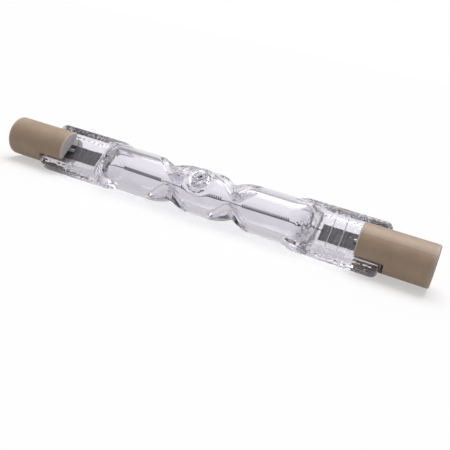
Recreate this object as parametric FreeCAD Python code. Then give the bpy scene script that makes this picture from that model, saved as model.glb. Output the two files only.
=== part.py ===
"""Double-ended linear halogen lamp with recessed end contacts.

The lamp is drawn in its own axes: X along the tube, Y across the flat pinch seals, Z towards the exhaust
tip. It is then turned about X and lifted, so that it lies on its tube and on the corners of two pinch rails.
Everything on the right-hand side (+X) is drawn once and mirrored for the left.
"""
import FreeCAD, Part
import math
import os

Vector = FreeCAD.Vector

# Driving dimensions, in millimetres and degrees.
# The lamp as a whole
overall_length = 78.3
contact_depth = 1.7

# Quartz tube and its gas space
tube_diameter = 8.0
tube_wall = 0.95
cavity_length = 38.1
end_ease = 0.25
shoulder_radius = 0.8
shoulder_sink = 0.1

# Dimples, pressed in by a wheel with a blunt V edge
dimple_spacing = 11.6
dimple_half_angle = 44.0
dimple_edge_width = 0.5
dimple_wheel_radius = 3.6
dimple_turn = 20.0
leg_clearance = 0.1

# Sealed exhaust tip
tip_diameter = 3.9
tip_height = 1.75
tip_crown_radius = 1.85
tip_foot_width = 0.5
tip_foot_height = 0.45
tip_hollow_diameter = 2.5
tip_hollow_end = 1.2

# Pinch seals
rail_flare = 0.65
rail_thickness = 2.6
rail_width = 1.25
rail_chamfer = 0.3
pinch_corner_radius = 1.0
flare_length = 2.0
flare_radius = 3.0
web_thickness = 1.9
web_corner_radius = 0.8
pinch_end_gap = 0.75

# Filament, foils and leads
wire_diameter = 0.15
coil_diameter = 0.66
leg_stretch = 1.8
coil_end_gap = 3.1
foil_width = 3.0
foil_thickness = 0.05
foil_inner_gap = 2.05
foil_offset = 0.25
foil_outer_gap = 1.2
leg_overlap = 2.0
lead_diameter = 0.7
lead_showing = 0.75
weld_flat = 0.05

# Ceramic caps
cap_diameter = 7.0
cap_length = 11.9
cap_end_chamfer = 0.2
cap_edge_chamfer = 0.15
slot_width = 3.1
slot_depth = 4.8
slot_corner_radius = 0.4
recess_diameter = 3.8
recess_chamfer = 0.25

# Contacts and cement
contact_diameter = 3.2
contact_height = 0.75
contact_crown = 0.15
contact_flat = 2.9
stem_diameter = 1.5
stem_length = 1.6
cement_width = 5.2
cement_recess = 0.2
cement_cover = 0.3

# Sizes that follow from those above
half_length = overall_length / 2
tube_radius = tube_diameter / 2
bore_radius = tube_radius - tube_wall
dome_centre = cavity_length / 2 - bore_radius
rail_half = rail_thickness / 2
shoulder_height = rail_half + shoulder_radius - shoulder_sink
shoulder_turn = math.asin(shoulder_height / (tube_radius + end_ease + shoulder_radius))
shoulder_x = dome_centre + (tube_radius + end_ease + shoulder_radius) * math.cos(shoulder_turn)
web_half = web_thickness / 2
pinch_half_width = tube_radius + rail_flare
cap_radius = cap_diameter / 2
cap_inner_end = half_length - cap_length
slot_half = slot_width / 2
slot_end = cap_inner_end + slot_depth
pinch_end = slot_end - pinch_end_gap
wire_radius = wire_diameter / 2
coil_radius = coil_diameter / 2
lead_radius = lead_diameter / 2
foil_top = weld_flat - lead_radius
foil_inner_end = cavity_length / 2 + foil_inner_gap
foil_outer_end = pinch_end - foil_outer_gap
leg_height = foil_top + wire_radius - weld_flat / 2
lead_inner_end = cap_inner_end - lead_showing
dimple_x = dimple_spacing / 2
# The leg wire passes between the dimples' inner faces, which stop this far from the axis.
leg_side = wire_radius + leg_clearance
contact_face = half_length - contact_depth
contact_radius = contact_diameter / 2
seat_floor = contact_face - contact_height
stem_radius = stem_diameter / 2
lead_outer_end = seat_floor + contact_height / 3
# A cut runs this far past the face that it opens.
overrun = 1.0


def rounded_wire(corners):
    """Closed wire through corners (point, radius), each rounded by its radius, or sharp at 0."""
    edges = []
    starts = []
    ends = []
    arcs = []
    count = len(corners)
    for index, (point, radius) in enumerate(corners):
        to_last = (corners[index - 1][0] - point).normalize()
        to_next = (corners[(index + 1) % count][0] - point).normalize()
        if radius == 0:
            starts.append(point)
            ends.append(point)
            arcs.append(None)
            continue
        half_turn = to_last.getAngle(to_next) / 2
        reach = radius / math.tan(half_turn)
        bisector = (to_last + to_next).normalize()
        middle = point + bisector * (radius / math.sin(half_turn) - radius)
        starts.append(point + to_last * reach)
        ends.append(point + to_next * reach)
        arcs.append(Part.Arc(starts[-1], middle, ends[-1]).toShape())
    for index in range(count):
        if arcs[index]:
            edges.append(arcs[index])
        following = starts[(index + 1) % count]
        if ends[index].distanceToPoint(following) > 1e-6:
            edges.append(Part.LineSegment(ends[index], following).toShape())
    return Part.Wire(edges)


def turned(corners, axis=Vector(1, 0, 0), centre=Vector(0, 0, 0)):
    """Solid turned from a closed profile about an axis."""
    return Part.Face(rounded_wire(corners)).revolve(centre, axis, 360)


def turned_on_x(corners):
    """Solid turned about X from sharp corners (x, radius)."""
    return turned([(Vector(x, 0, radius), 0) for x, radius in corners])


def block(x_start, x_stop, y_half, z_start, z_stop):
    """Box from x_start to x_stop, centred across Y."""
    corner = Vector(x_start, -y_half, z_start)
    return Part.makeBox(x_stop - x_start, 2 * y_half, z_stop - z_start, corner)


def rod_on_x(radius, x_start, x_stop, height=0.0):
    """Round rod along X, at a height above the lamp's axis."""
    return Part.makeCylinder(radius, x_stop - x_start, Vector(x_start, 0, height), Vector(1, 0, 0))


def mirrored(shape):
    """The same piece on the lamp's left."""
    return shape.mirror(Vector(0, 0, 0), Vector(1, 0, 0))


def both_sides(shape):
    """A shape and its mirror image, joined or side by side."""
    return shape.fuse(mirrored(shape))


def drawn_across(edges, half_width):
    """Solid drawn across the lamp, along Y, from a closed outline on the lamp's X-Z plane."""
    face = Part.Face(Part.Wire(edges))
    face.translate(Vector(0, -half_width, 0))
    return face.extrude(Vector(0, 2 * half_width, 0))


def round_ended(half_length, radius):
    """Outline on the X-Z plane with straight sides and half-round ends."""
    centre = half_length - radius
    high_left = Vector(-centre, 0, radius)
    high_right = Vector(centre, 0, radius)
    low_left = Vector(-centre, 0, -radius)
    low_right = Vector(centre, 0, -radius)
    return [
        Part.LineSegment(high_left, high_right).toShape(),
        Part.Arc(high_right, Vector(half_length, 0, 0), low_right).toShape(),
        Part.LineSegment(low_right, low_left).toShape(),
        Part.Arc(low_left, Vector(-half_length, 0, 0), high_left).toShape(),
    ]


def jaw_outline():
    """Right half of the tube's thickness as the jaws leave it: rounded off, then hollowed to the pinch."""
    jaw_radius = tube_radius + end_ease
    middles = (math.pi / 2 + shoulder_turn) / 2

    def on_round(angle, side):
        height = side * jaw_radius * math.sin(angle)
        return Vector(dome_centre + jaw_radius * math.cos(angle), 0, height)

    def on_shoulder(angle, side):
        height = side * (shoulder_height - shoulder_radius * math.sin(angle))
        return Vector(shoulder_x - shoulder_radius * math.cos(angle), 0, height)

    edges = []
    for side in (1, -1):
        above_middle = Vector(0, 0, side * jaw_radius)
        bend = on_round(shoulder_turn, side)
        foot = on_shoulder(math.pi / 2, side)
        edges += [
            Part.LineSegment(above_middle, on_round(math.pi / 2, side)).toShape(),
            Part.Arc(on_round(math.pi / 2, side), on_round(middles, side), bend).toShape(),
            Part.Arc(bend, on_shoulder(middles, side), foot).toShape(),
        ]
    upper, lower = edges[:3], edges[3:]
    across_end = Part.LineSegment(on_shoulder(math.pi / 2, 1), on_shoulder(math.pi / 2, -1)).toShape()
    across_middle = Part.LineSegment(Vector(0, 0, -jaw_radius), Vector(0, 0, jaw_radius)).toShape()
    return upper + [across_end] + lower[::-1] + [across_middle]


def tube_outside():
    """Round tube whose ends are pressed down to the thickness of the pinches."""
    pressed = both_sides(drawn_across(jaw_outline(), tube_diameter)).removeSplitter()
    return rod_on_x(tube_radius, -shoulder_x, shoulder_x).common(pressed)


def pinch_blank():
    """Flat pressed end with broken edges, flaring out of the tube."""
    root_x = dome_centre - flare_length
    root_half = pinch_half_width - 2 * rail_flare
    corners = [
        (Vector(root_x, -root_half, -rail_half), 0),
        (Vector(dome_centre + flare_length, -pinch_half_width, -rail_half), flare_radius),
        (Vector(pinch_end, -pinch_half_width, -rail_half), pinch_corner_radius),
        (Vector(pinch_end, pinch_half_width, -rail_half), pinch_corner_radius),
        (Vector(dome_centre + flare_length, pinch_half_width, -rail_half), flare_radius),
        (Vector(root_x, root_half, -rail_half), 0),
    ]
    slab = Part.Face(rounded_wire(corners)).extrude(Vector(0, 0, rail_thickness))
    outer_edges = []
    for edge in slab.Edges:
        middle = edge.CenterOfMass
        flat = abs(abs(middle.z) - rail_half) < 1e-6
        if flat and middle.x > root_x + flare_length / 2:
            outer_edges.append(edge)
    return slab.makeChamfer(rail_chamfer, outer_edges)


def web_pockets():
    """The two shallow pressings that leave a thin web between the rails."""
    pocket_half = pinch_half_width - rail_width
    corners = [
        (Vector(shoulder_x, -pocket_half, web_half), web_corner_radius),
        (Vector(pinch_end + overrun, -pocket_half, web_half), 0),
        (Vector(pinch_end + overrun, pocket_half, web_half), 0),
        (Vector(shoulder_x, pocket_half, web_half), web_corner_radius),
    ]
    upper = Part.Face(rounded_wire(corners)).extrude(Vector(0, 0, rail_half))
    lower = upper.mirror(Vector(0, 0, 0), Vector(0, 0, 1))
    return upper.fuse(lower)


def dimple_wheel(edge_reach, edge_width):
    """Two pairs of wheels with blunt V edges, which come within edge_reach of the lamp's axis."""
    flank = math.tan(math.radians(dimple_half_angle))
    hub = leg_side + tube_wall + dimple_wheel_radius
    half_hub = edge_width / 2 + (hub - edge_reach) * flank
    corners = [
        (Vector(dimple_x - edge_width / 2, edge_reach, 0), 0),
        (Vector(dimple_x + edge_width / 2, edge_reach, 0), 0),
        (Vector(dimple_x + half_hub, hub, 0), 0),
        (Vector(dimple_x - half_hub, hub, 0), 0),
    ]
    wheel = turned(corners, centre=Vector(0, hub, 0))
    pair = wheel.fuse(wheel.mirror(Vector(0, 0, 0), Vector(0, 1, 0)))
    pair.rotate(Vector(0, 0, 0), Vector(1, 0, 0), dimple_turn)
    return both_sides(pair)


def exhaust_tip():
    """Rounded stub where the tube was pumped out and sealed off, on a spread foot."""
    tip_radius = tip_diameter / 2
    foot_radius = tip_radius + tip_foot_width
    foot_top = tube_radius + tip_foot_height
    crown = tube_radius + tip_height
    crown_centre = crown - tip_crown_radius
    neck_radius = math.sqrt(tip_crown_radius ** 2 - (foot_top - crown_centre) ** 2)
    base = bore_radius

    def on_crown(angle):
        across = tip_crown_radius * math.sin(angle)
        return Vector(across, 0, crown_centre + tip_crown_radius * math.cos(angle))

    shoulder = math.asin(neck_radius / tip_crown_radius)
    foot_low = tube_radius - tube_wall / 2
    outline = [
        Part.LineSegment(Vector(0, 0, base), Vector(foot_radius, 0, base)).toShape(),
        Part.LineSegment(Vector(foot_radius, 0, base), Vector(foot_radius, 0, foot_low)).toShape(),
        Part.LineSegment(Vector(foot_radius, 0, foot_low), on_crown(shoulder)).toShape(),
        Part.Arc(on_crown(shoulder), on_crown(shoulder / 2), on_crown(0)).toShape(),
        Part.LineSegment(on_crown(0), Vector(0, 0, base)).toShape(),
    ]
    return Part.Face(Part.Wire(outline)).revolve(Vector(0, 0, 0), Vector(0, 0, 1), 360)


def tip_hollow():
    """Tapering hollow that leads from the gas space into the exhaust tip."""
    mouth = bore_radius - tube_wall
    end = tube_radius + tip_height - tube_wall
    corners = [
        (Vector(0, 0, mouth), 0),
        (Vector(tip_hollow_diameter / 2, 0, mouth), 0),
        (Vector(tip_hollow_end / 2, 0, end), 0),
        (Vector(0, 0, end), 0),
    ]
    return turned(corners, axis=Vector(0, 0, 1))


def gas_space():
    """The hollow of the lamp: a round bore, rounded off at its ends in both views, waisted at the dimples."""
    reach = cavity_length / 2
    bore = rod_on_x(bore_radius, -reach - overrun, reach + overrun)
    from_side = drawn_across(round_ended(reach, bore_radius + end_ease), tube_diameter)
    from_above = drawn_across(round_ended(reach + end_ease, bore_radius + end_ease), tube_diameter)
    from_above.rotate(Vector(0, 0, 0), Vector(1, 0, 0), 90)
    ended = bore.common(from_side).common(from_above)
    flank = math.radians(dimple_half_angle)
    inner_width = dimple_edge_width + 2 * tube_wall * math.tan(math.pi / 4 - flank / 2)
    waisted = ended.cut(dimple_wheel(leg_side, inner_width))
    return waisted.fuse(tip_hollow())


def quartz_envelope(inner_pieces):
    """The whole quartz body, closed tightly round the pieces sealed in it."""
    body = tube_outside().fuse(exhaust_tip())
    body = body.cut(dimple_wheel(leg_side + tube_wall, dimple_edge_width))
    body = body.fuse(both_sides(pinch_blank()))
    body = body.cut(both_sides(web_pockets()))
    body = body.cut(gas_space())
    for piece in inner_pieces:
        body = body.cut(piece)
    return body


def foil():
    """Thin foil that carries the current through the seal, a little off its middle."""
    sheet = block(foil_inner_end, foil_outer_end, foil_width / 2, foil_top - foil_thickness, foil_top)
    sheet.translate(Vector(0, -foil_offset, 0))
    return sheet


def below_foil_top():
    """Room under the foil's upper face, where what is welded on it is flattened."""
    return block(foil_inner_end, foil_outer_end, foil_width / 2, foil_top - cap_radius, foil_top)


def lead():
    """Rod from the foil out to the contact."""
    return rod_on_x(lead_radius, lead_inner_end, lead_outer_end).cut(below_foil_top())


def filament():
    """One wire with three coils, each drawn as the rod that its turns fill, welded to both foils."""
    middle_stop = dimple_x - leg_stretch
    outer_start = dimple_x + leg_stretch
    outer_stop = cavity_length / 2 - coil_end_gap
    end = foil_inner_end + leg_overlap
    right_runs = [
        rod_on_x(wire_radius, middle_stop, outer_start, leg_height),
        rod_on_x(coil_radius, outer_start, outer_stop),
        rod_on_x(wire_radius, outer_stop, end, leg_height).cut(below_foil_top()),
    ]
    wire = rod_on_x(coil_radius, -middle_stop, middle_stop)
    for run in right_runs:
        wire = wire.fuse(run).fuse(mirrored(run))
    return wire


def cap():
    """Ceramic cap: slotted at the pinch, recessed for the contact at its end."""
    recess_radius = recess_diameter / 2
    body = turned_on_x([
        (cap_inner_end, stem_radius),
        (cap_inner_end, cap_radius - cap_edge_chamfer),
        (cap_inner_end + cap_edge_chamfer, cap_radius),
        (half_length - cap_end_chamfer, cap_radius),
        (half_length, cap_radius - cap_end_chamfer),
        (half_length, recess_radius + recess_chamfer),
        (half_length - recess_chamfer, recess_radius),
        (contact_face, recess_radius),
        (contact_face, contact_radius),
        (seat_floor, contact_radius),
        (seat_floor, stem_radius),
    ])
    corners = [
        (Vector(cap_inner_end - overrun, -cap_radius - overrun, -slot_half), 0),
        (Vector(slot_end, -cap_radius - overrun, -slot_half), slot_corner_radius),
        (Vector(slot_end, -cap_radius - overrun, slot_half), slot_corner_radius),
        (Vector(cap_inner_end - overrun, -cap_radius - overrun, slot_half), 0),
    ]
    slot = Part.Face(rounded_wire(corners)).extrude(Vector(0, cap_diameter + 2 * overrun, 0))
    return body.cut(slot)


def contact():
    """Contact button with a crowned face and a hollow stem for the lead."""
    return turned_on_x([
        (seat_floor - stem_length, lead_radius),
        (seat_floor - stem_length, stem_radius),
        (seat_floor, stem_radius),
        (seat_floor, contact_radius),
        (contact_face - contact_crown, contact_radius),
        (contact_face, contact_flat / 2),
        (contact_face, 0),
        (lead_outer_end, 0),
        (lead_outer_end, lead_radius),
    ])


def cement():
    """Bed of cement that holds the cap on the pinch's web."""
    start = cap_inner_end + cement_recess
    stop = pinch_end + cement_cover
    bed = block(start, stop, cement_width / 2, -slot_half, slot_half)
    return bed.cut(pinch_blank().cut(web_pockets())).cut(lead())


def rest_angle():
    """Turn about X that lets the tube and the rails' lower corners touch the ground together."""
    turns = []
    for across, below in (
        (pinch_half_width, rail_half - rail_chamfer),
        (pinch_half_width - rail_chamfer, rail_half),
    ):
        reach = math.hypot(across, below)
        turns.append(math.asin(min(1.0, tube_radius / reach)) - math.atan2(below, across))
    return math.degrees(min(turns))


wire = filament()
sealed_in = [wire, both_sides(foil()), both_sides(lead())]
nodes = {"quartz_envelope": quartz_envelope(sealed_in), "filament": wire}
right_pieces = {"foil": foil(), "lead": lead(), "cap": cap(), "contact": contact(), "cement": cement()}
for name, piece in right_pieces.items():
    nodes[name + "_right"] = piece
    nodes[name + "_left"] = mirrored(piece)

os.makedirs("parts", exist_ok=True)
for name, shape in nodes.items():
    shape.rotate(Vector(0, 0, 0), Vector(1, 0, 0), rest_angle())
    shape.translate(Vector(0, 0, tube_radius))
    shape.exportStep("parts/" + name + ".step")
    print(name, "valid", shape.isValid(), "solids", len(shape.Solids), "volume", round(shape.Volume, 3))
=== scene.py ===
# %% [markdown]
# A linear halogen bulb, lying on a pale table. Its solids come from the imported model, which is loaded as a
# fixed frame. All of them could be drawn again here, but then each size would be kept in two places. So
# Blender adds only what the solids leave out: fire-polished quartz, the fine turns of the filament and
# every finish.

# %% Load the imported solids
import math

import bpy
import numpy as np
import openvdb
from mathutils import Matrix, Vector


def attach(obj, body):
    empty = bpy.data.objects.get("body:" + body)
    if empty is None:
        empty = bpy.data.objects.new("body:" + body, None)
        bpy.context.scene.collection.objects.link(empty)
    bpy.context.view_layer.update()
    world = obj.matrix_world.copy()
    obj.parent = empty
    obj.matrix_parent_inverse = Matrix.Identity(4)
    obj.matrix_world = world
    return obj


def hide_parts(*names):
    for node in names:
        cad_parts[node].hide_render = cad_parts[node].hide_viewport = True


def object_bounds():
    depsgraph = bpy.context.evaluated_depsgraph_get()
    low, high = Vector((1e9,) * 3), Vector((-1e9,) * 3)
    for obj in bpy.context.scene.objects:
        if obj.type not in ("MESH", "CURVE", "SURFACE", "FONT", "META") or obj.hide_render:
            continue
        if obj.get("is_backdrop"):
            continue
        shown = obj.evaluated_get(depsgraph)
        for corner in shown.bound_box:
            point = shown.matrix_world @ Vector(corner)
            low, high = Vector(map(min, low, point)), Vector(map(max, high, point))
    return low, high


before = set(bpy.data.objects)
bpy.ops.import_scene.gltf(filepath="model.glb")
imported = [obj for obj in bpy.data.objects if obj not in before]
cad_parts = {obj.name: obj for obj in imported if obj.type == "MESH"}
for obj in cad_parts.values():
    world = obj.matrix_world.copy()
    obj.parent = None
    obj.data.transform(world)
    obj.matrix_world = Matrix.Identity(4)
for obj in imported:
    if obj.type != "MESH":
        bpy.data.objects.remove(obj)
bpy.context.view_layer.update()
scene = bpy.context.scene
print("solids:", sorted(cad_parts))

# %% [markdown]
# Light that enters the quartz is turned by one wall after another before it gets out, and where the
# renderer gives up early it leaves black patches in the dimples. The glass could be see-through without
# bending light, which needs no such turns, but it would lose its bright and dark edges. So the light may
# turn more often. The Standard view shows each colour about as it is written.

# %% View and light bounces
light_turns = 13
scene.view_settings.view_transform = "Standard"
scene.cycles.max_bounces = light_turns
scene.cycles.transmission_bounces = light_turns
scene.cycles.glossy_bounces = light_turns
print("light turns", light_turns, "times at most")

# %% [markdown]
# The lamp has axes of its own: X along the tube, Y across the flat seals and Z towards the exhaust tip. It
# lies turned about X, so the tube and the lower corners of the seals' rails touch the table together. Each
# piece could be turned by itself, but one matrix that takes the lamp's axes to the scene keeps them
# together. The lamp's sizes below are in millimetres and go through it.

# %% The lamp's own axes
MM = 0.001
tube_radius = 4.0
pinch_half_width = 4.65
rail_corner_height = 1.0
corner_reach = math.hypot(pinch_half_width, rail_corner_height)
corner_turn = math.atan2(rail_corner_height, pinch_half_width)
rest_turn = math.asin(tube_radius / corner_reach) - corner_turn
lamp_axes = Matrix.Translation((0, 0, tube_radius * MM)) @ Matrix.Rotation(rest_turn, 4, "X")
print("the lamp lies turned by", round(math.degrees(rest_turn), 2), "degrees")

# %% [markdown]
# The camera looks down on the lamp from the front and the right. It could be placed by eye. Instead it was
# fitted to the outlines of the caps, the foils and the coils, which gave its place, its aim and its focal
# length in the lamp's axes, so that the render can be compared edge by edge. A camera in Blender looks
# along its own -Z with +Y up, so its matrix is made of the picture's right, up and backward directions.

# %% Camera
# The picture's width and the focal length are in pixels, and the sensor's width is in millimetres.
picture_width = 450
focal_length = 597.05
sensor_width = 36
eye = Vector((36.642, -45.588, 83.709)) * MM
picture_right = Vector((0.90155, 0.41409, -0.12548))
picture_down = Vector((0.30055, -0.80794, -0.50685))
picture_forward = Vector((-0.31126, 0.41924, -0.85285))
camera_data = bpy.data.cameras.new("camera")
camera_data.sensor_width = sensor_width
camera_data.lens = focal_length / picture_width * sensor_width
camera_data.clip_start = 0.005
camera_data.clip_end = 20
camera = bpy.data.objects.new("camera", camera_data)
scene.collection.objects.link(camera)
camera_turn = Matrix((picture_right, -picture_down, -picture_forward)).transposed().to_4x4()
camera.matrix_world = lamp_axes @ Matrix.Translation(eye) @ camera_turn
scene.camera = camera
print("camera at", [round(value / MM, 1) for value in camera.matrix_world.translation], "mm")

# %% [markdown]
# A material is a tree of nodes with links between them. It can be drawn by hand in the node editor, but a
# script that adds nodes by name is easier to read again and to change. These helpers do the wiring, so
# that each material below reads as a short list of what it is made of.

# %% Nodes and links
def add_node(tree, kind, **settings):
    """A new node of a tree, with its properties or its unlinked inputs set by name."""
    node = tree.nodes.new(kind)
    for name, value in settings.items():
        if hasattr(node, name):
            setattr(node, name, value)
        else:
            node.inputs[name.replace("_", " ")].default_value = value
    return node


def plug(tree, value, target):
    """Links an output socket to an input socket, or sets the input to a plain value."""
    if isinstance(value, bpy.types.NodeSocket):
        tree.links.new(value, target)
    else:
        target.default_value = value


print("nodes can be added and linked")

# %% Sums and ranges
def reckon(tree, operation, *values):
    """The result of a maths node that works on sockets or plain numbers."""
    node = add_node(tree, "ShaderNodeMath", operation=operation)
    for value, target in zip(values, node.inputs):
        plug(tree, value, target)
    return node.outputs[0]


def carry(tree, value, start, stop, low, high, curve="LINEAR"):
    """A value carried from the range start to stop over to the range low to high, and held beyond it."""
    node = add_node(tree, "ShaderNodeMapRange", interpolation_type=curve)
    labels = ("Value", "From Min", "From Max", "To Min", "To Max")
    for label, setting in zip(labels, (value, start, stop, low, high)):
        plug(tree, setting, node.inputs[label])
    return node.outputs["Result"]


print("values can be reckoned and carried")

# %% [markdown]
# The kind of ray decides what it meets on the table and in the world: the camera sees a white background,
# metal and glass show a studio, and matt surfaces take plain light. Each could have a scene of its own, to
# be laid over one another later. A Light Path node tells the rays apart in one scene.

# %% Kinds of rays
def seen_through(tree, rays):
    """1 for rays that metal reflects or that glass lets through."""
    return reckon(tree, "MAXIMUM", rays.outputs["Is Glossy Ray"], rays.outputs["Is Transmission Ray"])


def choose(tree, share, first, second):
    """The first shader where a share is 0, and the second where it is 1."""
    mix = add_node(tree, "ShaderNodeMixShader")
    for value, target in zip((share, first, second), mix.inputs):
        plug(tree, value, target)
    return mix.outputs[0]


print("shaders can be chosen by the kind of ray")

# %% [markdown]
# The table is plain and pale. More light would make it white in the picture, but would bleach the lamp
# too. So it is a plain light grey that takes the lamp's soft shadow, and a little emission lifts it to
# white for rays that come straight from the camera.

# %% Table for the camera
def table_for_camera(tree, rays):
    """Plain light grey, lifted to white for the camera."""
    camera_lift = 0.44
    plain = add_node(tree, "ShaderNodeBsdfDiffuse", Color=(0.62, 0.62, 0.63, 1))
    lift = add_node(tree, "ShaderNodeEmission", Color=(1, 1, 1, 1))
    plug(tree, reckon(tree, "MULTIPLY", rays.outputs["Is Camera Ray"], camera_lift), lift.inputs["Strength"])
    both = add_node(tree, "ShaderNodeAddShader")
    plug(tree, plain.outputs[0], both.inputs[0])
    plug(tree, lift.outputs[0], both.inputs[1])
    return both.outputs[0]


print("table for the camera ready")

# %% [markdown]
# Most of what the clear tube shows is the table under and behind it. A table that is lit from behind is
# darker on the near side, and this gives the tube its tones from its lower to its upper edge. A shaded
# picture could be laid on the table, but one gradient from front to back does it.

# %% Table for glass and metal
def table_for_glass(tree):
    """Painted shade: an emission that brightens from the front of the lamp to behind it."""
    front, back = -12 * MM, 25 * MM
    dim, bright = 0.5, 0.97
    place = add_node(tree, "ShaderNodeTexCoord")
    split = add_node(tree, "ShaderNodeSeparateXYZ")
    plug(tree, place.outputs["Object"], split.inputs[0])
    even = add_node(tree, "ShaderNodeEmission", Color=(0.99, 0.98, 1.0, 1))
    plug(tree, carry(tree, split.outputs["Y"], front, back, dim, bright), even.inputs["Strength"])
    return even.outputs[0]


print("table for glass ready")

# %% [markdown]
# The table top is one large square. A curved backdrop could hide its far edge, but it reaches so far that
# the edge lies near the horizon, where the world is white too. Its material picks one of the two looks by
# the kind of ray.

# %% Lay the table
def start_material(name):
    """An empty node material, its tree and its output."""
    material = bpy.data.materials.new(name)
    material.use_nodes = True
    tree = material.node_tree
    tree.nodes.clear()
    return material, tree, add_node(tree, "ShaderNodeOutputMaterial")


def pale_table():
    """The table's material, chosen by the kind of ray."""
    material, tree, output = start_material("pale_table")
    rays = add_node(tree, "ShaderNodeLightPath")
    top = choose(tree, seen_through(tree, rays), table_for_camera(tree, rays), table_for_glass(tree))
    plug(tree, top, output.inputs["Surface"])
    return material


table_reach = 3.0
table_mesh = bpy.data.meshes.new("table")
turns_round = ((-1, -1), (1, -1), (1, 1), (-1, 1))
table_corners = [(right * table_reach, back * table_reach, 0) for right, back in turns_round]
table_mesh.from_pydata(table_corners, [], [(0, 1, 2, 3)])
table_mesh.materials.append(pale_table())
table = bpy.data.objects.new("table", table_mesh)
scene.collection.objects.link(table)
table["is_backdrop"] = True
print("table laid,", 2 * table_reach, "m wide")

# %% [markdown]
# Clear glass is drawn by what surrounds it, and is dark only where it bends the view to something dark. A
# picture of a studio could be wrapped round the scene, but a few soft bands are enough here. For glass and
# metal the world is pale at the horizon, grey part way up and bright overhead. It has one dark opening
# above the front, as a light tent has.

# %% Studio for glass and metal
def towards(tree, place, direction):
    """1 where the world lies in a direction, and less the further it lies from it, down to -1."""
    aim = add_node(tree, "ShaderNodeVectorMath", operation="DOT_PRODUCT")
    plug(tree, place.outputs["Generated"], aim.inputs[0])
    plug(tree, Vector(direction).normalized(), aim.inputs[1])
    return aim.outputs["Value"]


def studio_bands(tree, place):
    """Greys that change with height, as places from 0 straight below to 1 overhead."""
    bands = [(0.0, 0.85), (0.52, 0.9), (0.6, 0.36), (0.84, 0.32), (0.92, 1.0), (1.0, 1.15)]
    shade = add_node(tree, "ShaderNodeValToRGB")
    for position, _ in bands[1:-1]:
        shade.color_ramp.elements.new(position)
    for element, (position, grey) in zip(shade.color_ramp.elements, bands):
        element.position = position
        element.color = (grey * 0.98, grey * 0.97, grey, 1)
    height = reckon(tree, "MULTIPLY_ADD", towards(tree, place, (0.0, -0.25, 1.0)), 0.5, 0.5)
    plug(tree, height, shade.inputs[0])
    return shade.outputs["Color"]


def tent_opening(tree, place):
    """The share of light that is left: all of it away from the opening and a tenth within it."""
    rim, heart = 0.8, 0.9
    nearness = towards(tree, place, (0.36, -0.45, 0.82))
    return carry(tree, nearness, rim, heart, 1.0, 0.1, "SMOOTHSTEP")


print("studio ready")

# %% [markdown]
# The world is all that lies round the table. Matt surfaces take an even and slightly warm light from it,
# the camera sees plain white, and glass and metal show the studio. One picture for all three would be
# simpler, but the light on the caps would then change with each band that the glass needs.

# %% World
def studio_world():
    """Surroundings that are chosen by the kind of ray."""
    studio = bpy.data.worlds.new("studio")
    studio.use_nodes = True
    tree = studio.node_tree
    tree.nodes.clear()
    rays = add_node(tree, "ShaderNodeLightPath")
    place = add_node(tree, "ShaderNodeTexCoord")
    for_glass = add_node(tree, "ShaderNodeBackground")
    plug(tree, studio_bands(tree, place), for_glass.inputs["Color"])
    plug(tree, tent_opening(tree, place), for_glass.inputs["Strength"])
    for_camera = add_node(tree, "ShaderNodeBackground", Color=(1, 1, 1, 1), Strength=1.0)
    for_light = add_node(tree, "ShaderNodeBackground", Color=(1.0, 0.985, 0.95, 1), Strength=0.32)
    around = choose(tree, seen_through(tree, rays), for_light.outputs[0], for_glass.outputs[0])
    around = choose(tree, rays.outputs["Is Camera Ray"], around, for_camera.outputs[0])
    output = add_node(tree, "ShaderNodeOutputWorld")
    plug(tree, around, output.inputs["Surface"])
    return studio


scene.world = studio_world()
print("world:", scene.world.name)

# %% [markdown]
# One very wide soft light comes from above and a little behind. An area lamp would suit a large object,
# but so close to a small one it would light the table unevenly. A sun lamp with a large angle is as soft,
# and even everywhere.

# %% Soft light
light_data = bpy.data.lights.new("overhead", "SUN")
light_data.energy = 1.9
light_data.angle = math.radians(50)
light_data.color = (1.0, 0.99, 0.99)
light_aim = Vector((0.05, -0.3, -1.0))
overhead = bpy.data.objects.new("overhead", light_data)
overhead.rotation_euler = light_aim.to_track_quat("-Z", "Y").to_euler()
scene.collection.objects.link(overhead)
print("light hung, strength", round(light_data.energy, 2))

# %% [markdown]
# The quartz is one piece, softened in a flame and pressed, so every edge on it is rounded. A mesh with
# bevels could show that, but fillets that meet on curved forms are hard to draw. So the form is written as
# a distance field: a function of a point that is negative inside the quartz. Fields are joined and cut
# with a soft minimum and maximum, which leave a fillet.

# %% Soft joins for distance fields
def soft_least(first, second, ease):
    """The lesser of two fields, with a fillet about as wide as ease."""
    share = np.clip(0.5 + 0.5 * (second - first) / ease, 0, 1)
    return second + (first - second) * share - ease * share * (1 - share)


def soft_most(first, second, ease):
    """The greater of two fields, with a rounded edge about as wide as ease."""
    return -soft_least(-first, -second, ease)


def ramp(value, start, stop):
    """0 before start, 1 after stop and smooth between."""
    share = np.clip((value - start) / (stop - start), 0, 1)
    return share * share * (3 - 2 * share)


print("soft joins ready, half way up a ramp:", ramp(0.5, 0, 1))

# %% [markdown]
# A dimple is pressed in by wheels with a rounded V edge, from both sides of the tube, until the inner
# walls hold the filament's straight leg. It could be sculpted, but a field of the wheels themselves marks
# all four places alike, and the same wheels, one wall thickness larger, shape the inside.

# %% Dimple wheel
wall = 0.95
dimple_x = 5.8
dimple_slope = math.radians(44)
dimple_turn = math.radians(20)
wheel_radius = 3.6
outer_edge = 0.5
inner_edge = 0.72
leg_side = 0.175
wheel_hub = leg_side + wall + wheel_radius


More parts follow.
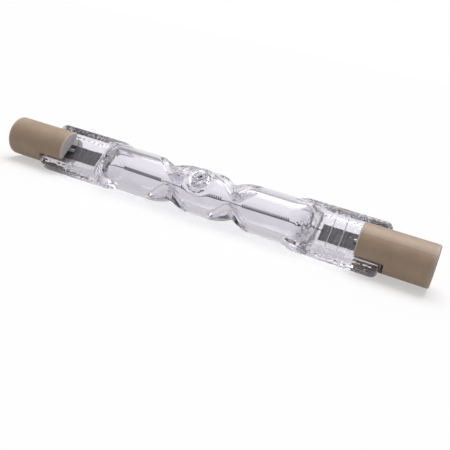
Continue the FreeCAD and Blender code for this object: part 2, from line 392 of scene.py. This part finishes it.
def dimple_wheel(x, y, z, offset, edge):
    """Field of the two wheels of one dimple pair, grown by an offset, with a rounded edge."""
    along = np.sqrt((np.abs(x) - dimple_x) ** 2 + edge ** 2)
    across = y * math.cos(dimple_turn) + z * math.sin(dimple_turn)
    up = z * math.cos(dimple_turn) - y * math.sin(dimple_turn)
    out = np.hypot(np.abs(across) - wheel_hub, up)
    tip = wheel_radius + offset + edge / math.tan(dimple_slope)
    return along * math.cos(dimple_slope) - (tip - out) * math.sin(dimple_slope)


print("dimple wheels at", dimple_x, "mm on each side of the middle")

# %% [markdown]
# The outside starts as a round tube. Jaws close on its ends and leave them domed where they go over to the
# flat seals. Two crossing rounds, the tube and the jaws' hollow, give that dome without a single drawn
# curve. The tube is a hair smaller than the solid one, so the mesh never stands out of it.

# %% Pressed tube
hair = 0.01
dome_centre = 16.0
jaw_room = 0.25
jaw_radius = tube_radius + jaw_room


def pressed_tube(x, y, z):
    """Field of the tube with its domed ends and its dimples."""
    tube = np.hypot(y, z) - tube_radius + hair
    jaws = np.hypot(np.maximum(np.abs(x) - dome_centre, 0), z) - jaw_radius
    body = soft_most(tube, jaws, ease=0.7)
    return soft_most(body, -dimple_wheel(x, y, z, 0.0, outer_edge), ease=0.45)


print("tube:", round(float(-pressed_tube(0.0, 0.0, 0.0)), 2), "mm deep on the axis")

# %% [markdown]
# Each end is a flat seal, pressed while the quartz was soft: a slab that flares out of the tube, with a
# thin web between two raised rails. The rails could be added to a thin slab, but pressing hollows into a
# thick one is how the jaws do it, and it leaves the same rounded inner edges.

# %% Flat seals
seal_start = 13.5
flare_start = 13.6
flare_stop = 18.0
throat_half_width = 3.35
pinch_end = 31.5
rail_half = 1.3
web_half = 0.95
web_start = 20.2
web_slope = 0.4
web_side = 3.4


def seal_slab(x, y, z):
    """Field of the flat slabs of both seals."""
    reach = np.abs(x)
    flare = ramp(reach, flare_start, flare_stop)
    half_width = throat_half_width + (pinch_half_width - throat_half_width) * flare
    outline = soft_most(np.abs(y) - half_width, reach - pinch_end, ease=1.2)
    slab = soft_most(outline, np.abs(z) - rail_half, ease=0.6)
    return soft_most(slab, seal_start - reach, ease=0.5)


def web_hollow(x, y, z):
    """Field of the hollows between the rails, which run out gently towards the tube."""
    hollow = soft_most(web_half - np.abs(z), np.abs(y) - web_side, ease=0.5)
    return soft_most(hollow, web_slope * (web_start - np.abs(x)), ease=0.5)


print("seals end", pinch_end, "mm from the middle")

# %% [markdown]
# The exhaust tip is what is left of a thin tube through which the lamp was pumped out and filled. It was
# melted off, so it is a slightly uneven drop on a spread foot. A ball would be too regular, and a sculpted
# drop hard to change, so two waves that cross make a ball uneven.

# %% Exhaust tip
tip_height = 3.9
tip_radius = 1.8
foot_radius = 2.15
foot_height = 3.5
foot_round = 0.45
drop_wave = 0.06


def tip_ball(x, y, z, radius):
    """Field of a ball round the middle of the exhaust tip."""
    return np.sqrt(x ** 2 + y ** 2 + (z - tip_height) ** 2) - radius


def tip_drop(x, y, z):
    """Field of the melted drop."""
    return tip_ball(x, y, z, tip_radius) + drop_wave * np.cos(5.5 * x + 2.0) * np.cos(5.0 * y - 1.0)


def tip_foot(x, y, z):
    """Field of the ring on which the drop spreads out."""
    return np.hypot(np.hypot(x, y) - foot_radius, z - foot_height) - foot_round


print("tip ends", round(tip_height + tip_radius, 2), "mm from the axis")

# %% [markdown]
# The tube, the seals and the tip are one melt, so they run into each other. Separate meshes that overlap
# would show as walls inside clear glass. So the fields are joined first and only then made into faces. The
# join is wide on the flat of the seals, where the quartz flowed, and tight at their sides.

# %% Whole outside
def quartz_outside(x, y, z):
    """Field of the whole outer form."""
    on_flat = ramp(np.abs(z), 0.5, rail_half) * (1 - ramp(np.abs(y), 1.5, 3.2))
    body = soft_least(pressed_tube(x, y, z), seal_slab(x, y, z), ease=0.1 + 1.2 * on_flat)
    body = soft_most(body, -web_hollow(x, y, z), ease=0.3)
    body = soft_least(body, tip_foot(x, y, z), ease=0.4)
    return soft_least(body, tip_drop(x, y, z), ease=0.3)


print("outside:", round(float(-quartz_outside(25.0, 0.0, 0.0)), 2), "mm deep in the web")

# %% [markdown]
# The gas space is the tube's bore, rounded off at both ends and waisted between the dimples, and it opens
# into the exhaust tip. It could be the outside shrunk by one wall, but the seals are solid and its ends
# are rounder than the outside, so it has a field of its own.

# %% Gas space
bore_radius = tube_radius - wall
cavity_half = 19.05
side_round = 3.3
top_round = 4.2
top_reach = 3.95
tip_hollow_radius = 1.0
hollow_wave = 0.12


def gas_space(x, y, z):
    """Field of the hollow inside the quartz."""
    reach = np.abs(x)
    bore = np.hypot(y, z) - bore_radius
    from_side = np.hypot(np.maximum(reach - cavity_half + side_round, 0), z) - side_round
    from_above = np.hypot(np.maximum(reach - cavity_half + top_reach, 0), y) - top_round
    hollow = soft_most(soft_most(bore, from_side, ease=0.7), from_above, ease=0.7)
    hollow = soft_most(hollow, -dimple_wheel(x, y, z, wall, inner_edge), ease=0.5)
    tip = tip_ball(x, y, z, tip_hollow_radius)
    tip = tip + hollow_wave * np.cos(4.6 * x - 0.7) * np.cos(4.9 * y + 0.5)
    return soft_least(hollow, tip, ease=0.6)


print("gas space:", round(float(-gas_space(12.0, 0.0, 0.0)), 2), "mm from the axis to the wall")

# %% [markdown]
# A field has to become faces before it can be rendered. Faces straight from a grid leave small steps,
# which clear glass shows as ripples, and a finer grid would cost many more faces. So the field is sampled
# on a plain grid, and each point is then moved along the field's slope until it lies on the surface.

# %% Points onto the surface
def field_slope(field, points, step=0.02):
    """Gradient of a field at many points."""
    columns = []
    for axis in range(3):
        shift = np.zeros(3)
        shift[axis] = step
        columns.append((field(*(points + shift).T) - field(*(points - shift).T)) / (2 * step))
    return np.stack(columns, axis=1)


def settle(field, points, rounds=5):
    """Moves points along the slope of a field onto its zero surface."""
    least_slope = 0.05
    for _ in range(rounds):
        slope = field_slope(field, points)
        steep = np.maximum((slope ** 2).sum(axis=1), least_slope)
        points = points - slope * (field(*points.T) / steep)[:, None]
    return points


print("slope on the tube's wall:", field_slope(pressed_tube, np.array([[12.0, 4.0, 0.0]]))[0].round(2))

# %% Faces from a field
def faces_of_field(field, low, high, step):
    """Points and four-sided faces on the zero surface of a field, facing out of its inside."""
    axes = [np.arange(start, stop + step, step) for start, stop in zip(low, high)]
    samples = field(*np.meshgrid(*axes, indexing="ij")).astype(np.float32)
    grid = openvdb.FloatGrid(1.0)
    grid.copyFromArray(samples)
    points, faces = grid.convertToQuads(0.0)
    points = settle(field, np.array(low) + np.array(points, dtype=float) * step)
    faces = np.array(faces, dtype=int)
    corners = points[faces]
    across = np.cross(corners[:, 2] - corners[:, 0], corners[:, 3] - corners[:, 1])
    outward = field_slope(field, corners.mean(axis=1))
    if (across * outward).sum() < 0:
        faces = faces[:, ::-1]
    return points, faces


print("fields can be made into faces")

# %% Outside and inside of the quartz
grid_step = 0.2
outer_low, outer_high = (-31.4, -5.1, -4.5), (31.4, 5.1, 6.2)
inner_low, inner_high = (-19.6, -3.5, -3.5), (19.6, 3.5, 5.2)
outer_points, outer_faces = faces_of_field(quartz_outside, outer_low, outer_high, grid_step)
inner_points, inner_faces = faces_of_field(gas_space, inner_low, inner_high, grid_step)
print("faces outside and inside:", len(outer_faces), len(inner_faces))

# %% [markdown]
# The exhaust tip sparkles like cut glass. Gas that was caught as the tip melted shut would do that, so a
# ring of small bubbles lies under its skin. A bumpy texture could roughen the tip, but real hollows bend
# the view of what lies behind them. They belong to the inside of the quartz, and each is a small round
# field.

# %% Bubbles in the tip
bubble_count = 7
bubble_reach = 1.43
bubble_leans = (math.radians(50), math.radians(28))
bubble_radius = 0.16
bubble_growth = 0.035
first_turn = 0.4


def bubble(centre, radius):
    """Points and faces of one round bubble."""
    def ball(x, y, z):
        return np.sqrt((x - centre[0]) ** 2 + (y - centre[1]) ** 2 + (z - centre[2]) ** 2) - radius

    room = 1.5 * radius
    return faces_of_field(ball, centre - room, centre + room, radius / 4)


for index in range(bubble_count):
    turn = 2 * math.pi * index / bubble_count + first_turn
    lean = bubble_leans[index % 2]
    aside = bubble_reach * math.sin(lean)
    height = tip_height + bubble_reach * math.cos(lean)
    centre = np.array((aside * math.cos(turn), aside * math.sin(turn), height))
    bubble_points, bubble_faces = bubble(centre, bubble_radius + bubble_growth * (index % 3))
    inner_faces = np.concatenate([inner_faces, bubble_faces + len(inner_points)])
    inner_points = np.concatenate([inner_points, bubble_points])
print("bubbles in the tip:", bubble_count)

# %% [markdown]
# Glass in a render is what lies between two surfaces, so the outside and the hollows are one mesh, with
# the hollows turned inside out. Two objects would work too, but they could drift apart, and the piece
# stands for one solid of the frame.

# %% One piece of quartz
points = np.concatenate([outer_points, inner_points]) * MM
faces = np.concatenate([outer_faces, inner_faces[:, ::-1] + len(outer_points)])
turned = points @ np.array(lamp_axes.to_3x3()).T + np.array(lamp_axes.translation)
quartz_mesh = bpy.data.meshes.new("quartz")
quartz_mesh.from_pydata(turned.tolist(), [], faces.tolist())
quartz_mesh.polygons.foreach_set("use_smooth", [True] * len(quartz_mesh.polygons))
quartz_mesh.update()
quartz = bpy.data.objects.new("quartz", quartz_mesh)
scene.collection.objects.link(quartz)
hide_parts("quartz_envelope")
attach(quartz, "root")
print("quartz has", len(quartz.data.polygons), "faces")

# %% [markdown]
# The jaws and wheels leave their rough skin on the quartz, and the closing jaws wrinkle the ends of the
# gas space. These marks could be painted, but they follow the form, so each point of the mesh keeps a
# share that is worked out from its place. The same share also greys the glass as painted shade, most on
# the rails of the near side. The material reads the share by its name.

# %% Pressed marks and painted shade
cap_start = 27.25
mark_fade = 1.0


def pressed_and_shade_share(points):
    """How strongly each point of the outside was marked and greyed with painted shade. The rails stay smooth
    beside the caps.
    """
    x, y, z = points.T
    reach = np.abs(x)
    # Painted shade: the far rails take less of the share, so less grey and less rough skin than the near
    # rails.
    far_rail = np.where(x > 0, 0.7, 0.3)
    rails = ramp(np.abs(y), 2.2, 3.3) * ramp(reach, 16.5, 18.5) * np.where(y > 0, far_rail, 1.0)
    rails = rails * (1 - ramp(reach, cap_start - 1.45, cap_start - 0.05))
    web = 0.22 * ramp(reach, 19.5, 21.0)
    shoulder = 0.4 * ramp(reach, 18.4, 19.4) * (1 - ramp(reach, web_start, web_start + mark_fade))
    dimples = 0.45 * (1 - ramp(np.abs(dimple_wheel(x, y, z, 0.0, outer_edge)), 0.05, 0.35))
    return np.max([rails, web, shoulder, dimples], axis=0)


def wrinkled_and_shade_share(points):
    """How strongly the closing jaws wrinkled each point of the gas space, with painted shade, most on the
    near side.
    """
    x, y, _ = points.T
    return 0.8 * ramp(np.abs(x), 16.8, 18.4) * ramp(-y, -0.4, 1.0)


def keep_share(name, shares):
    """Keeps a share for each point of the quartz under a name."""
    attribute = quartz.data.attributes.new(name, "FLOAT", "POINT")
    attribute.data.foreach_set("value", shares)


pressed_and_shade_shares = np.concatenate([pressed_and_shade_share(outer_points), wrinkled_and_shade_share(inner_points)])
keep_share("pressed_and_shade", pressed_and_shade_shares)
print("pressed share is", round(float(pressed_and_shade_shares.mean()), 3), "on average")

# %% [markdown]
# Where the flame worked longest, at the shoulders and the dimples, the quartz is a little hazy, and it is
# painted a little grey there as painted shade. This could be part of the pressed share, but it doesn't run
# along the rails, where the skin is roughest, so it is a share of its own.

# %% Flame-worked haze and painted shade
def worked_and_shade_share(points):
    """How much the flame hazed each point of the outside, and how much painted shade greys it."""
    x, y, z = points.T
    reach = np.abs(x)
    shoulder = 0.4 * ramp(reach, 17.5, 18.5) * (1 - ramp(reach, web_start, web_start + mark_fade))
    shoulder = shoulder * ramp(np.abs(z), 0.9, 1.4)
    dimples = 1 - ramp(np.abs(dimple_wheel(x, y, z, 0.0, outer_edge)), 0.1, 0.5)
    # Painted shade and haze: this share greys and hazes the shoulders and the dimples.
    return np.maximum(shoulder, dimples)


worked_and_shade_shares = np.concatenate([worked_and_shade_share(outer_points), np.zeros(len(inner_points))])
keep_share("worked_and_shade", worked_and_shade_shares)
print("worked share is", round(float(worked_and_shade_shares.mean()), 3), "on average")

# %% [markdown]
# The finishes are built from four effects: a soft mottle, rounded grains, fine lines, and a band at a
# distance from the lamp's middle. Each could be wired into every material again. As a node group it is
# built once and placed in a material with its own sizes, which are in millimetres. The two spotted effects
# come first.

# %% Start of a shared effect
def start_group(name, inputs):
    """A new shader node group with number inputs and a mask as its output."""
    group = bpy.data.node_groups.new(name, "ShaderNodeTree")
    for label, value in inputs.items():
        socket = group.interface.new_socket(label, in_out="INPUT", socket_type="NodeSocketFloat")
        socket.default_value = value
    group.interface.new_socket("Mask", in_out="OUTPUT", socket_type="NodeSocketFloat")
    return group, add_node(group, "NodeGroupInput"), add_node(group, "NodeGroupOutput")


effects = {}
print("effects so far:", len(effects))

# %% Mottle
def mottle_group():
    """Soft spots about Size millimetres across."""
    group, taken, given = start_group("mottle", {"Size": 1.0, "Detail": 3.0})
    place = add_node(group, "ShaderNodeTexCoord")
    spots = add_node(group, "ShaderNodeTexNoise", Roughness=0.55)
    plug(group, place.outputs["Object"], spots.inputs["Vector"])
    plug(group, reckon(group, "DIVIDE", 1 / MM, taken.outputs["Size"]), spots.inputs["Scale"])
    plug(group, taken.outputs["Detail"], spots.inputs["Detail"])
    plug(group, spots.outputs["Fac"], given.inputs["Mask"])
    return group


effects["mottle"] = mottle_group()
print("mottle has", len(effects["mottle"].nodes), "nodes")

# %% Grains
def grains_group():
    """Rounded grains about Size millimetres across, 0 at their middles."""
    group, taken, given = start_group("grains", {"Size": 0.5})
    place = add_node(group, "ShaderNodeTexCoord")
    cells = add_node(group, "ShaderNodeTexVoronoi", feature="SMOOTH_F1", Smoothness=0.3)
    plug(group, place.outputs["Object"], cells.inputs["Vector"])
    plug(group, reckon(group, "DIVIDE", 1 / MM, taken.outputs["Size"]), cells.inputs["Scale"])
    plug(group, cells.outputs["Distance"], given.inputs["Mask"])
    return group


effects["grains"] = grains_group()
print("grains have", len(effects["grains"].nodes), "nodes")

# %% [markdown]
# Rolling and drawing leave fine lines on metal, and the caps are painted lighter at their two ends, as
# painted light and a cement smear. A noise that is squeezed along X gives lines without a picture, and a
# smooth step over the distance from the middle gives bands that fit both ends of the lamp at once.

# %% Lines
def lines_group():
    """Fine lines, Length times as long as they are wide, along the lamp or, below 1, across it."""
    group, taken, given = start_group("lines", {"Width": 0.1, "Length": 20.0})
    place = add_node(group, "ShaderNodeTexCoord")
    squeeze = add_node(group, "ShaderNodeCombineXYZ", Y=1.0, Z=1.0)
    plug(group, reckon(group, "DIVIDE", 1.0, taken.outputs["Length"]), squeeze.inputs["X"])
    stretched = add_node(group, "ShaderNodeVectorMath", operation="MULTIPLY")
    plug(group, place.outputs["Object"], stretched.inputs[0])
    plug(group, squeeze.outputs[0], stretched.inputs[1])
    spots = add_node(group, "ShaderNodeTexNoise", Detail=2.0)
    plug(group, stretched.outputs[0], spots.inputs["Vector"])
    plug(group, reckon(group, "DIVIDE", 1 / MM, taken.outputs["Width"]), spots.inputs["Scale"])
    plug(group, spots.outputs["Fac"], given.inputs["Mask"])
    return group


effects["lines"] = lines_group()
print("lines have", len(effects["lines"].nodes), "nodes")

# %% Bands at the ends
def band_group():
    """0 at Start and 1 at Stop, both in millimetres from the lamp's middle."""
    group, taken, given = start_group("end_band", {"Start": 30.0, "Stop": 31.0})
    place = add_node(group, "ShaderNodeTexCoord")
    split = add_node(group, "ShaderNodeSeparateXYZ")
    plug(group, place.outputs["Object"], split.inputs[0])
    reach = reckon(group, "DIVIDE", reckon(group, "ABSOLUTE", split.outputs["X"]), MM)
    band = carry(group, reach, taken.outputs["Start"], taken.outputs["Stop"], 0.0, 1.0, "SMOOTHSTEP")
    plug(group, band, given.inputs["Mask"])
    return group


effects["end_band"] = band_group()
print("shared effects:", sorted(effects))

# %% [markdown]
# A finish is a principled shader whose colour, gloss and bumps follow such masks. These helpers place an
# effect, blend two tones with it, stretch it to a range of gloss, and raise bumps from it. Painted
# pictures could do the same, but they would need the solids unwrapped, and would blur up close.

# %% Start of a finish
def start_finish(name, **settings):
    """A node material with one principled shader, whose plain inputs are set by name."""
    material, tree, output = start_material(name)
    shader = add_node(tree, "ShaderNodeBsdfPrincipled", **settings)
    plug(tree, shader.outputs["BSDF"], output.inputs["Surface"])
    return material, tree, shader


def effect(tree, name, **values):
    """Places a shared effect in a material and returns its mask."""
    node = add_node(tree, "ShaderNodeGroup")
    node.node_tree = effects[name]
    for label, value in values.items():
        node.inputs[label].default_value = value
    return node.outputs["Mask"]


print("finishes can be started")

# %% Tones, gloss and bumps
def between_tones(tree, mask, first, second):
    """A colour that goes from the first tone to the second with a mask."""
    mix = add_node(tree, "ShaderNodeMix", data_type="RGBA")
    factor, tone_a, tone_b = mix.inputs[0], mix.inputs[6], mix.inputs[7]
    plug(tree, mask, factor)
    plug(tree, (*first, 1) if isinstance(first, tuple) else first, tone_a)
    plug(tree, (*second, 1), tone_b)
    return mix.outputs[2]


def within(tree, mask, low, high):
    """The part of a mask where most of it lies, stretched to run from a low to a high value."""
    mask_low, mask_high = 0.3, 0.7
    return carry(tree, mask, mask_low, mask_high, low, high)


def relief(tree, shader, height, depth, strength=1.0):
    """Bumps on a surface, depth millimetres deep where the height is 1."""
    bump = add_node(tree, "ShaderNodeBump", Strength=strength, Distance=depth * MM)
    plug(tree, height, bump.inputs["Height"])
    plug(tree, bump.outputs["Normal"], shader.inputs["Normal"])


print("masks can become tones, gloss and bumps")

# %% [markdown]
# Quartz is clear, with a faint grey cast. Painted shade greys it further where it was pressed or worked,
# most on the rails of the near side. A plain glass shader could show it, but the principled shader is the
# one that other programs read. Grains under the pressed skin make it bumpy and dull, and the worked places
# are a little hazy. For shadow rays the glass is nearly open, because light passes through it to the table.

# %% Quartz glass
quartz_ior = 1.46


def quartz_glass():
    """Clear quartz with its pressed and worked marks, greyed there with painted shade."""
    material, tree, shader = start_finish("quartz_glass", IOR=quartz_ior, Transmission_Weight=1.0)
    rays = add_node(tree, "ShaderNodeLightPath")
    shadow_opening = 0.8
    solid = reckon(tree, "MULTIPLY_ADD", rays.outputs["Is Shadow Ray"], -shadow_opening, 1.0)
    plug(tree, solid, shader.inputs["Alpha"])
    pressed_and_shade = add_node(tree, "ShaderNodeAttribute", attribute_name="pressed_and_shade").outputs["Fac"]
    worked_and_shade = add_node(tree, "ShaderNodeAttribute", attribute_name="worked_and_shade").outputs["Fac"]
    # Painted shade: the pressed and worked shares grey the glass.
    glass_and_shade_tint = between_tones(tree, pressed_and_shade, (0.92, 0.91, 0.95), (0.82, 0.81, 0.85))
    glass_and_shade_tint = between_tones(tree, worked_and_shade, glass_and_shade_tint, (0.74, 0.73, 0.79))
    plug(tree, glass_and_shade_tint, shader.inputs["Base Color"])
    skin = reckon(tree, "MULTIPLY", effect(tree, "grains", Size=0.5), pressed_and_shade)
    relief(tree, shader, skin, 0.2)
    haze = reckon(tree, "MULTIPLY", worked_and_shade, 0.06)
    plug(tree, reckon(tree, "MULTIPLY_ADD", skin, 0.3, haze), shader.inputs["Roughness"])
    return material


quartz.data.materials.append(quartz_glass())
print("quartz glazed:", quartz.data.materials[0].name)

# %% [markdown]
# The jaws were made in pieces, and the joints between them left two fine raised seams across the web of
# the right seal. They could be ridges in the quartz's field, but its grid is too coarse for them. So each
# is a thin round thread, half sunk in the glass and a little frosted, that shines over the foil.

# %% Round threads
def round_threads(name, paths, radius):
    """A mesh of round threads that follow paths of points in the lamp's axes."""
    curve = bpy.data.curves.new(name, "CURVE")
    curve.dimensions = "3D"
    curve.bevel_depth = radius * MM
    curve.bevel_resolution = 2
    for path in paths:
        spline = curve.splines.new("POLY")
        spline.points.add(len(path) - 1)
        for point, place in zip(spline.points, path):
            point.co = (*(lamp_axes @ (Vector(place) * MM)), 1)
    drawn = bpy.data.objects.new(name, curve)
    scene.collection.objects.link(drawn)
    mesh = bpy.data.meshes.new_from_object(drawn.evaluated_get(bpy.context.evaluated_depsgraph_get()))
    bpy.data.objects.remove(drawn)
    piece = bpy.data.objects.new(name, mesh)
    scene.collection.objects.link(piece)
    return piece


print("threads can be drawn")

# %% Jaw seams
seam_places = (22.7, 24.65)
seam_half = 2.9
seam_radius = 0.08
seam_paths = [[(place, -seam_half, web_half), (place, seam_half, web_half)] for place in seam_places]
seams = round_threads("jaw_seams", seam_paths, seam_radius)
seam_colour = (0.88, 0.87, 0.9, 1)
seam_glass, _, _ = start_finish(
    "seam_glass", Base_Color=seam_colour, IOR=quartz_ior, Transmission_Weight=0.4, Roughness=0.4
)
seams.data.materials.append(seam_glass)
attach(seams, "root")
print("seams drawn:", len(seam_paths))

# %% [markdown]
# The filament is one tungsten wire. Its turns are far too fine for the solids, which show each coil as a
# rod. A striped texture on the rods could stand for them, but light passes between real turns. So here one
# thread follows the wire's path: a straight leg, a helix, a leg through a dimple, and so on through all
# three coils.

# %% Coils
wire_radius = 0.088
coil_radius = 0.36
turn_pitch = 0.4
points_per_turn = 14
leg_height = -0.25
coil_ends = [
    ((-16.08, 0.35, -0.4), (-8.17, 0.05, -0.1)),
    ((-4.14, -0.2, 0.25), (3.64, 0.0, 0.0)),
    ((7.32, -0.1, 0.13), (15.73, 0.2, -0.22)),
]


def coil_path(start, stop):
    """Points along one coil, which starts and stops at its lowest."""
    ring = coil_radius - wire_radius
    turns = round((stop[0] - start[0]) / turn_pitch)
    path = []
    for index in range(turns * points_per_turn + 1):
        share = index / (turns * points_per_turn)
        angle = -math.pi / 2 + 2 * math.pi * turns * share
        middle = Vector(start).lerp(Vector(stop), share)
        path.append(middle + Vector((0, ring * math.cos(angle), ring * math.sin(angle))))
    return path


print("points along the coils:", [len(coil_path(*ends)) for ends in coil_ends])

# %% Filament
wire_end = 21.5


def wire_path():
    """Points along the whole wire, from the left foil to the right one."""
    path = [(-wire_end, 0, leg_height)]
    for start, stop in coil_ends:
        path.extend(coil_path(start, stop))
        if stop[0] < dimple_x:
            path.append((math.copysign(dimple_x, stop[0]), 0, leg_height))
    path.append((wire_end, 0, leg_height))
    return path


filament = round_threads("filament_wire", [wire_path()], wire_radius)
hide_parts("filament")
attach(filament, "root")
print("filament has", len(filament.data.polygons), "faces")

# %% [markdown]
# The caps are unglazed steatite, a dense talc ceramic fired to a matt beige. One plain colour would look
# like plastic. So its tone wanders a little over a millimetre or two and has a fine grain. The inner end is
# painted pale, partly for cement smeared over it and partly as painted light that lifts the slot's shade,
# and the outer rim is painted lighter, a painted highlight where its rounding catches the light.

# %% Steatite
cap_end = 39.15


def steatite():
    """Matt beige ceramic for the caps, with painted light at both ends."""
    material, tree, shader = start_finish("steatite", Specular_IOR_Level=1.0)
    clouds = within(tree, effect(tree, "mottle", Size=2.2, Detail=3.0), 0.0, 1.0)
    grain = effect(tree, "mottle", Size=0.16, Detail=2.0)
    tone = between_tones(tree, clouds, (0.425, 0.295, 0.192), (0.495, 0.355, 0.245))
    tone = between_tones(tree, within(tree, grain, -0.25, 0.3), tone, (0.60, 0.46, 0.36))
    # Painted highlight: the outer rim is lighter where its rounding catches the light.
    rim = effect(tree, "end_band", Start=cap_end - 0.95, Stop=cap_end - 0.05)
    tone = between_tones(tree, reckon(tree, "MULTIPLY", rim, 0.45), tone, (0.66, 0.59, 0.54))
    # Partly a cement smear and partly painted light: the inner end is paler where the slot's shade begins.
    smear_and_painted_light = effect(tree, "end_band", Start=cap_start + 0.3, Stop=cap_start + 0.03)
    tone = between_tones(tree, smear_and_painted_light, tone, (0.74, 0.68, 0.67))
    plug(tree, tone, shader.inputs["Base Color"])
    plug(tree, within(tree, grain, 0.45, 0.6), shader.inputs["Roughness"])
    relief(tree, shader, grain, 0.02, 0.5)
    return material


finishes = {"cap": steatite()}
print("mixed:", finishes["cap"].name)

# %% [markdown]
# The cement that holds each cap on its seal is chalky and off white, and shows only in the slots. Its
# lumps could be modelled, but they are finer than anything else in the slot, so one mottle makes both its
# tone and its bumps.

# %% Cement
def cement():
    """Chalky off-white cement."""
    material, tree, shader = start_finish("cement", Roughness=0.92)
    lumps = effect(tree, "mottle", Size=0.35, Detail=4.0)
    tone = between_tones(tree, within(tree, lumps, 0, 1), (0.66, 0.61, 0.61), (0.8, 0.76, 0.76))
    plug(tree, tone, shader.inputs["Base Color"])
    relief(tree, shader, lumps, 0.06, 0.7)
    return material


finishes["cement"] = cement()
print("mixed:", finishes["cement"].name)

# %% [markdown]
# The foils are molybdenum, rolled and etched to a dull grey with fine lines across them. The leads are
# drawn rod, the contacts are nickel plated with faint marks, and the filament is dark tungsten. Each could
# be a plain metal, but lines that change the tone and the gloss together make it look worked. One function
# serves all four, because they differ only in tone, gloss and the size of their lines.

# %% Metals
def metal(name, dark, light, width, length, gloss):
    """A metal with fine lines in its tone and its gloss, which is a range of roughness."""
    material, tree, shader = start_finish(name, Metallic=1.0)
    lines = effect(tree, "lines", Width=width, Length=length)
    plug(tree, between_tones(tree, within(tree, lines, 0, 1), dark, light), shader.inputs["Base Color"])
    plug(tree, within(tree, lines, *gloss), shader.inputs["Roughness"])
    relief(tree, shader, lines, 0.01, 0.5)
    return material


finishes["foil"] = metal(
    "foil", dark=(0.075, 0.07, 0.077), light=(0.22, 0.21, 0.225),
    width=2.2, length=0.12, gloss=(0.4, 0.6),
)
finishes["lead"] = metal(
    "lead", dark=(0.42, 0.42, 0.45), light=(0.58, 0.58, 0.61),
    width=0.08, length=30.0, gloss=(0.25, 0.4),
)
finishes["contact"] = metal(
    "contact", dark=(0.55, 0.54, 0.52), light=(0.68, 0.67, 0.64),
    width=0.15, length=4.0, gloss=(0.22, 0.4),
)
tungsten = metal(
    "tungsten", dark=(0.01, 0.009, 0.01), light=(0.022, 0.02, 0.022),
    width=0.05, length=6.0, gloss=(0.3, 0.45),
)
print("metals ready: foil, lead, contact and", tungsten.name)

# %% [markdown]
# Both ends of the lamp are made of the same five pieces, which keep the shapes of the solids and only get
# their finishes. They could be drawn again, but the solids already have the small chamfers of the real
# pieces. A loop over the two sides keeps the ends alike.

# %% Dress the solids and the filament
for name, finish in finishes.items():
    for side in ("left", "right"):
        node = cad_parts[name + "_" + side]
        node.data.materials.clear()
        node.data.materials.append(finish)
filament.data.materials.append(tungsten)
print("finishes:", sorted(finishes))

# %% [markdown]
# The last step measures the dressed lamp. Its box could be judged by eye, but it is printed to a
# hundredth of a millimetre. It has to stay inside the box of its solids.

# %% Sizes
visual_box = [list(corner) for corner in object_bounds()]
visual_box_mm = [[round(value / MM, 2) for value in corner] for corner in visual_box]
print("box of the visual model in mm:", visual_box_mm)
